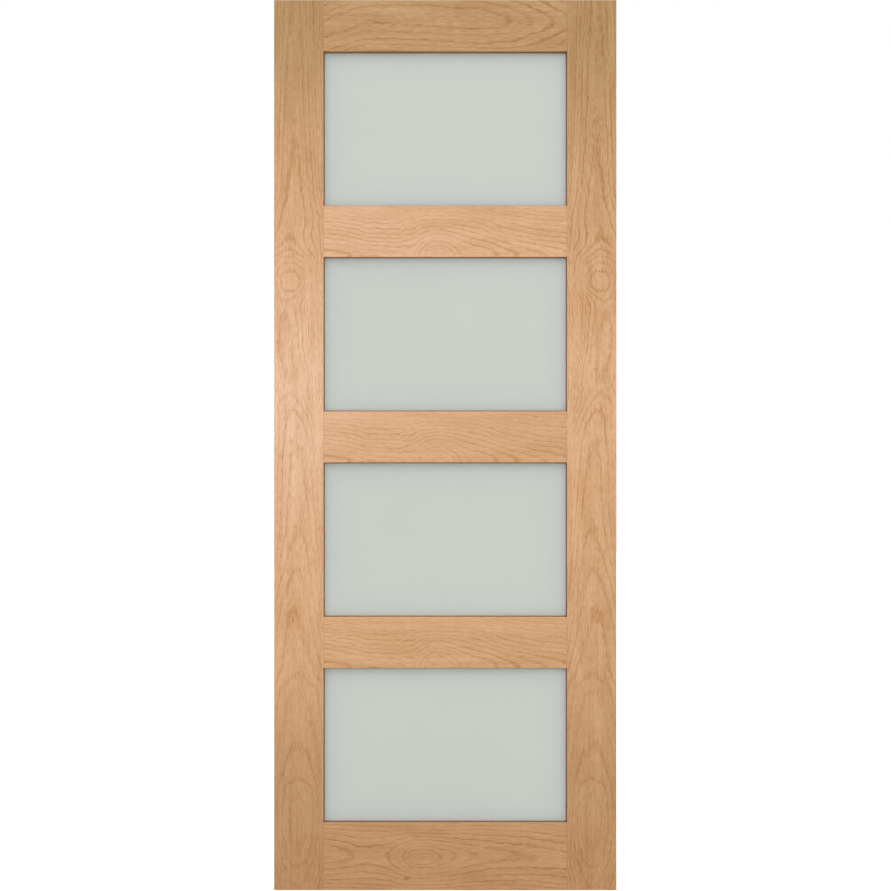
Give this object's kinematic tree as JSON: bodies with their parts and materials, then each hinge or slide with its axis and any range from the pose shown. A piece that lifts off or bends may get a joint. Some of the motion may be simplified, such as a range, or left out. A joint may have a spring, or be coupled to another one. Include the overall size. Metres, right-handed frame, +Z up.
{
  "type": "glazed door leaf",
  "caption": "Tall oak shaker door leaf with square-edged stiles and rails around equal frosted glass lights, held in from the back by mitred beads.",
  "frame": {"origin": "bottom of the hinge edge, at the middle of the leaf's thickness", "axes": "+Z up the leaf, +X across it from the hinge edge to the latch edge, +Y through its thickness towards the beaded back, so the front face looks along -Y"},
  "size_m": [0.762, 0.035, 1.981],
  "materials": {
    "oak_frame": "satin",
    "oak_bead": "satin",
    "frosted_glass": "matte",
    "bedding": "matte",
    "pin_steel": "satin"
  },
  "bodies": {
    "root": {"left_stile": "oak_frame", "right_stile": "oak_frame", "top_rail": "oak_frame", "upper_rail": "oak_frame", "middle_rail": "oak_frame", "lower_rail": "oak_frame", "bottom_rail": "oak_frame", "top_pane": "frosted_glass", "upper_pane": "frosted_glass", "lower_pane": "frosted_glass", "bottom_pane": "frosted_glass", "top_light_head_bead": "oak_bead", "top_light_sill_bead": "oak_bead", "top_light_left_bead": "oak_bead", "top_light_right_bead": "oak_bead", "upper_light_head_bead": "oak_bead", "upper_light_sill_bead": "oak_bead", "upper_light_left_bead": "oak_bead", "upper_light_right_bead": "oak_bead", "lower_light_head_bead": "oak_bead", "lower_light_sill_bead": "oak_bead", "lower_light_left_bead": "oak_bead", "lower_light_right_bead": "oak_bead", "bottom_light_head_bead": "oak_bead", "bottom_light_sill_bead": "oak_bead", "bottom_light_left_bead": "oak_bead", "bottom_light_right_bead": "oak_bead"}
  },
  "joints": []
}
